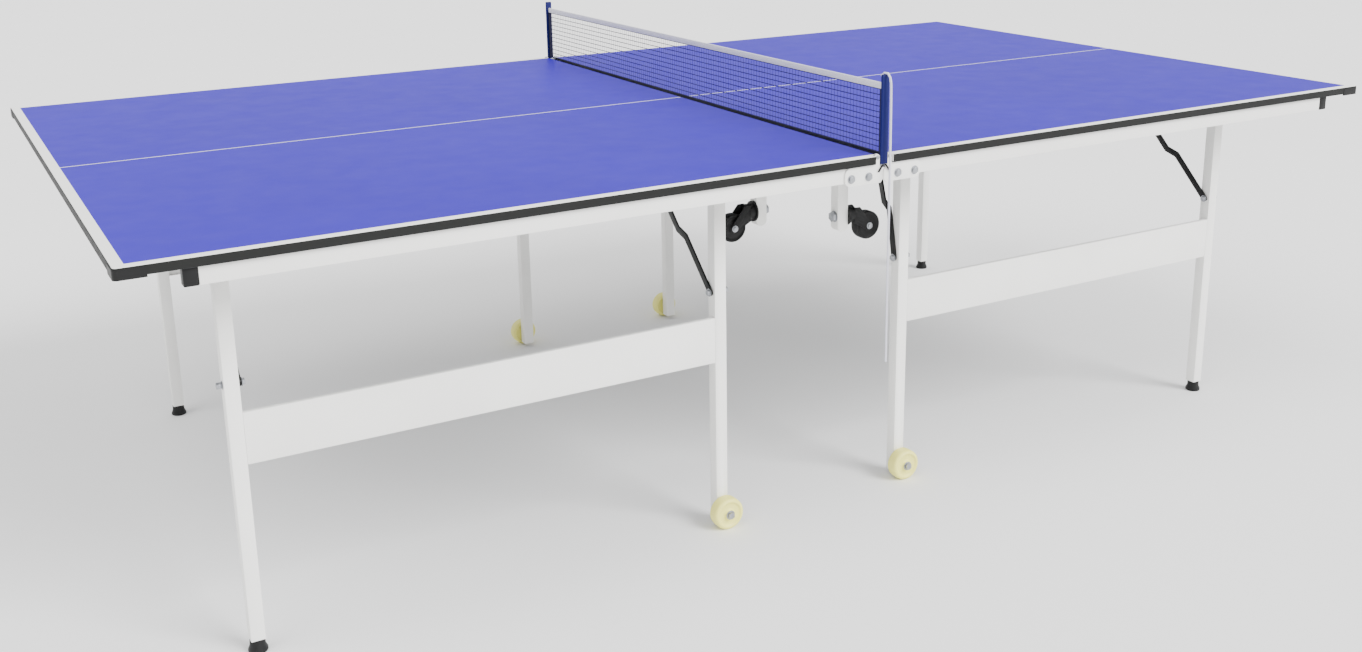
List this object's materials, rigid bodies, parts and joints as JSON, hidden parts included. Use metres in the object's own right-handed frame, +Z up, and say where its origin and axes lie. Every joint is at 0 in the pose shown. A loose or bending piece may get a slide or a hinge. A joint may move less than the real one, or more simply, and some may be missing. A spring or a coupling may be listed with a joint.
{
  "type": "folding table tennis table",
  "caption": "Folding table tennis table: two half tops on folding leg frames with braces, transport wheels and swivel casters, joined at the centre under a net.",
  "frame": {"origin": "on the floor, under the middle of the net", "axes": "+X along the table's length towards the right half, +Y across it towards the far side, +Z up"},
  "size_m": [2.74, 1.5356, 0.9166],
  "materials": {
    "surface": "satin paint",
    "white_steel": "gloss powder coat",
    "steel": "zinc plated",
    "black_steel": "satin powder coat",
    "black_plastic": "matte",
    "cream_plastic": "satin",
    "navy_steel": "satin powder coat",
    "net_cloth": "woven mesh",
    "cord": "braided"
  },
  "bodies": {
    "centre": {"near_link_plate": "steel", "far_link_plate": "steel", "near_net_post": "navy_steel", "far_net_post": "navy_steel", "net": "net_cloth", "draw_cord": "cord"},
    "left_half": {"left_board": "surface", "left_outer_crossbar": "white_steel", "left_inner_crossbar": "white_steel", "left_near_rail": "white_steel", "left_far_rail": "white_steel", "left_near_hinge_plate": "white_steel", "left_far_hinge_plate": "white_steel", "left_near_caster_arm": "white_steel", "left_far_caster_arm": "white_steel"},
    "right_half": {"right_board": "surface", "right_outer_crossbar": "white_steel", "right_inner_crossbar": "white_steel", "right_near_rail": "white_steel", "right_far_rail": "white_steel", "right_near_hinge_plate": "white_steel", "right_far_hinge_plate": "white_steel", "right_near_caster_arm": "white_steel", "right_far_caster_arm": "white_steel"},
    "left_near_legs": {"left_near_outer_leg": "white_steel", "left_near_inner_leg": "white_steel", "left_near_panel": "white_steel", "left_near_foot": "black_plastic"},
    "left_far_legs": {"left_far_outer_leg": "white_steel", "left_far_inner_leg": "white_steel", "left_far_panel": "white_steel", "left_far_foot": "black_plastic"},
    "right_near_legs": {"right_near_outer_leg": "white_steel", "right_near_inner_leg": "white_steel", "right_near_panel": "white_steel", "right_near_foot": "black_plastic"},
    "right_far_legs": {"right_far_outer_leg": "white_steel", "right_far_inner_leg": "white_steel", "right_far_panel": "white_steel", "right_far_foot": "black_plastic"},
    "left_near_braces": {"left_near_outer_brace": "black_steel", "left_near_inner_brace": "black_steel"},
    "right_far_braces": {"right_far_outer_brace": "black_steel", "right_far_inner_brace": "black_steel"},
    "left_far_long_brace": {"left_far_outer_brace": "black_steel"},
    "left_far_steep_brace": {"left_far_inner_brace": "black_steel"},
    "right_near_long_brace": {"right_near_outer_brace": "black_steel"},
    "right_near_steep_brace": {"right_near_inner_brace": "black_steel"},
    "left_near_wheel": {"left_near_transport_wheel": "cream_plastic"},
    "left_far_wheel": {"left_far_transport_wheel": "cream_plastic"},
    "right_near_wheel": {"right_near_transport_wheel": "cream_plastic"},
    "right_far_wheel": {"right_far_transport_wheel": "cream_plastic"},
    "left_near_swivel": {"left_near_caster_fork": "black_plastic"},
    "left_far_swivel": {"left_far_caster_fork": "black_plastic"},
    "right_near_swivel": {"right_near_caster_fork": "black_plastic"},
    "right_far_swivel": {"right_far_caster_fork": "black_plastic"},
    "left_near_caster": {"left_near_caster_wheel": "black_plastic"},
    "left_far_caster": {"left_far_caster_wheel": "black_plastic"},
    "right_near_caster": {"right_near_caster_wheel": "black_plastic"},
    "right_far_caster": {"right_far_caster_wheel": "black_plastic"}
  },
  "joints": [
    {"name": "left_half_fold", "type": "hinge", "parent": "centre", "child": "left_half", "pos_m": [-0.014, 0, 0.757], "axis": [0, 1, 0], "range_deg": [0, 90]},
    {"name": "right_half_fold", "type": "hinge", "parent": "centre", "child": "right_half", "pos_m": [0.014, 0, 0.757], "axis": [0, -1, 0], "range_deg": [0, 90]},
    {"name": "left_near_legs_fold", "type": "hinge", "parent": "left_half", "child": "left_near_legs", "pos_m": [-0.729, -0.5875, 0.706], "axis": [1, 0, 0], "range_deg": [0, 90]},
    {"name": "left_far_legs_fold", "type": "hinge", "parent": "left_half", "child": "left_far_legs", "pos_m": [-0.641, 0.5875, 0.706], "axis": [-1, 0, 0], "range_deg": [0, 90]},
    {"name": "right_near_legs_fold", "type": "hinge", "parent": "right_half", "child": "right_near_legs", "pos_m": [0.641, -0.5875, 0.706], "axis": [1, 0, 0], "range_deg": [0, 90]},
    {"name": "right_far_legs_fold", "type": "hinge", "parent": "right_half", "child": "right_far_legs", "pos_m": [0.729, 0.5875, 0.706], "axis": [-1, 0, 0], "range_deg": [0, 90]},
    {"name": "left_near_braces_turn", "type": "hinge", "parent": "left_near_legs", "child": "left_near_braces", "pos_m": [-0.729, -0.5875, 0.491], "axis": [1, 0, 0], "range_deg": [-130, 0]},
    {"name": "right_far_braces_turn", "type": "hinge", "parent": "right_far_legs", "child": "right_far_braces", "pos_m": [0.729, 0.5875, 0.491], "axis": [-1, 0, 0], "range_deg": [-130, 0]},
    {"name": "left_far_long_brace_turn", "type": "hinge", "parent": "left_far_legs", "child": "left_far_long_brace", "pos_m": [-1.0885, 0.5875, 0.491], "axis": [-1, 0, 0], "range_deg": [-130, 0]},
    {"name": "left_far_steep_brace_turn", "type": "hinge", "parent": "left_far_legs", "child": "left_far_steep_brace", "pos_m": [-0.1625, 0.5875, 0.491], "axis": [-1, 0, 0], "range_deg": [-160, 0]},
    {"name": "right_near_long_brace_turn", "type": "hinge", "parent": "right_near_legs", "child": "right_near_long_brace", "pos_m": [1.0885, -0.5875, 0.491], "axis": [1, 0, 0], "range_deg": [-130, 0]},
    {"name": "right_near_steep_brace_turn", "type": "hinge", "parent": "right_near_legs", "child": "right_near_steep_brace", "pos_m": [0.1625, -0.5875, 0.491], "axis": [1, 0, 0], "range_deg": [-160, 0]},
    {"name": "left_near_wheel_spin", "type": "hinge", "parent": "left_near_legs", "child": "left_near_wheel", "pos_m": [-0.266, -0.6165, 0.033], "axis": [0, 1, 0], "continuous": true},
    {"name": "left_far_wheel_spin", "type": "hinge", "parent": "left_far_legs", "child": "left_far_wheel", "pos_m": [-0.178, 0.6165, 0.033], "axis": [0, 1, 0], "continuous": true},
    {"name": "right_near_wheel_spin", "type": "hinge", "parent": "right_near_legs", "child": "right_near_wheel", "pos_m": [0.178, -0.6165, 0.033], "axis": [0, 1, 0], "continuous": true},
    {"name": "right_far_wheel_spin", "type": "hinge", "parent": "right_far_legs", "child": "right_far_wheel", "pos_m": [0.266, 0.6165, 0.033], "axis": [0, 1, 0], "continuous": true},
    {"name": "left_near_swivel_turn", "type": "hinge", "parent": "left_half", "child": "left_near_swivel", "pos_m": [0.058, -0.537, 0.585], "axis": [1, 0, 0], "continuous": true},
    {"name": "left_far_swivel_turn", "type": "hinge", "parent": "left_half", "child": "left_far_swivel", "pos_m": [0.058, 0.409, 0.585], "axis": [1, 0, 0], "continuous": true},
    {"name": "right_near_swivel_turn", "type": "hinge", "parent": "right_half", "child": "right_near_swivel", "pos_m": [-0.058, -0.409, 0.585], "axis": [1, 0, 0], "continuous": true},
    {"name": "right_far_swivel_turn", "type": "hinge", "parent": "right_half", "child": "right_far_swivel", "pos_m": [-0.058, 0.537, 0.585], "axis": [1, 0, 0], "continuous": true},
    {"name": "left_near_caster_spin", "type": "hinge", "parent": "left_near_swivel", "child": "left_near_caster", "pos_m": [0.1245, -0.537, 0.557], "axis": [0, 1, 0], "continuous": true},
    {"name": "left_far_caster_spin", "type": "hinge", "parent": "left_far_swivel", "child": "left_far_caster", "pos_m": [0.1245, 0.409, 0.557], "axis": [0, 1, 0], "continuous": true},
    {"name": "right_near_caster_spin", "type": "hinge", "parent": "right_near_swivel", "child": "right_near_caster", "pos_m": [-0.1245, -0.409, 0.557], "axis": [0, 1, 0], "continuous": true},
    {"name": "right_far_caster_spin", "type": "hinge", "parent": "right_far_swivel", "child": "right_far_caster", "pos_m": [-0.1245, 0.537, 0.557], "axis": [0, 1, 0], "continuous": true}
  ],
  "couplings": [
    {"joint": "left_near_braces_turn", "follows": "left_near_legs_fold", "ratio": -1.4175},
    {"joint": "right_far_braces_turn", "follows": "right_far_legs_fold", "ratio": -1.4175},
    {"joint": "left_far_long_brace_turn", "follows": "left_far_legs_fold", "ratio": -1.4175},
    {"joint": "right_near_long_brace_turn", "follows": "right_near_legs_fold", "ratio": -1.4175},
    {"joint": "left_far_steep_brace_turn", "follows": "left_far_legs_fold", "ratio": -1.7454},
    {"joint": "right_near_steep_brace_turn", "follows": "right_near_legs_fold", "ratio": -1.7454}
  ]
}
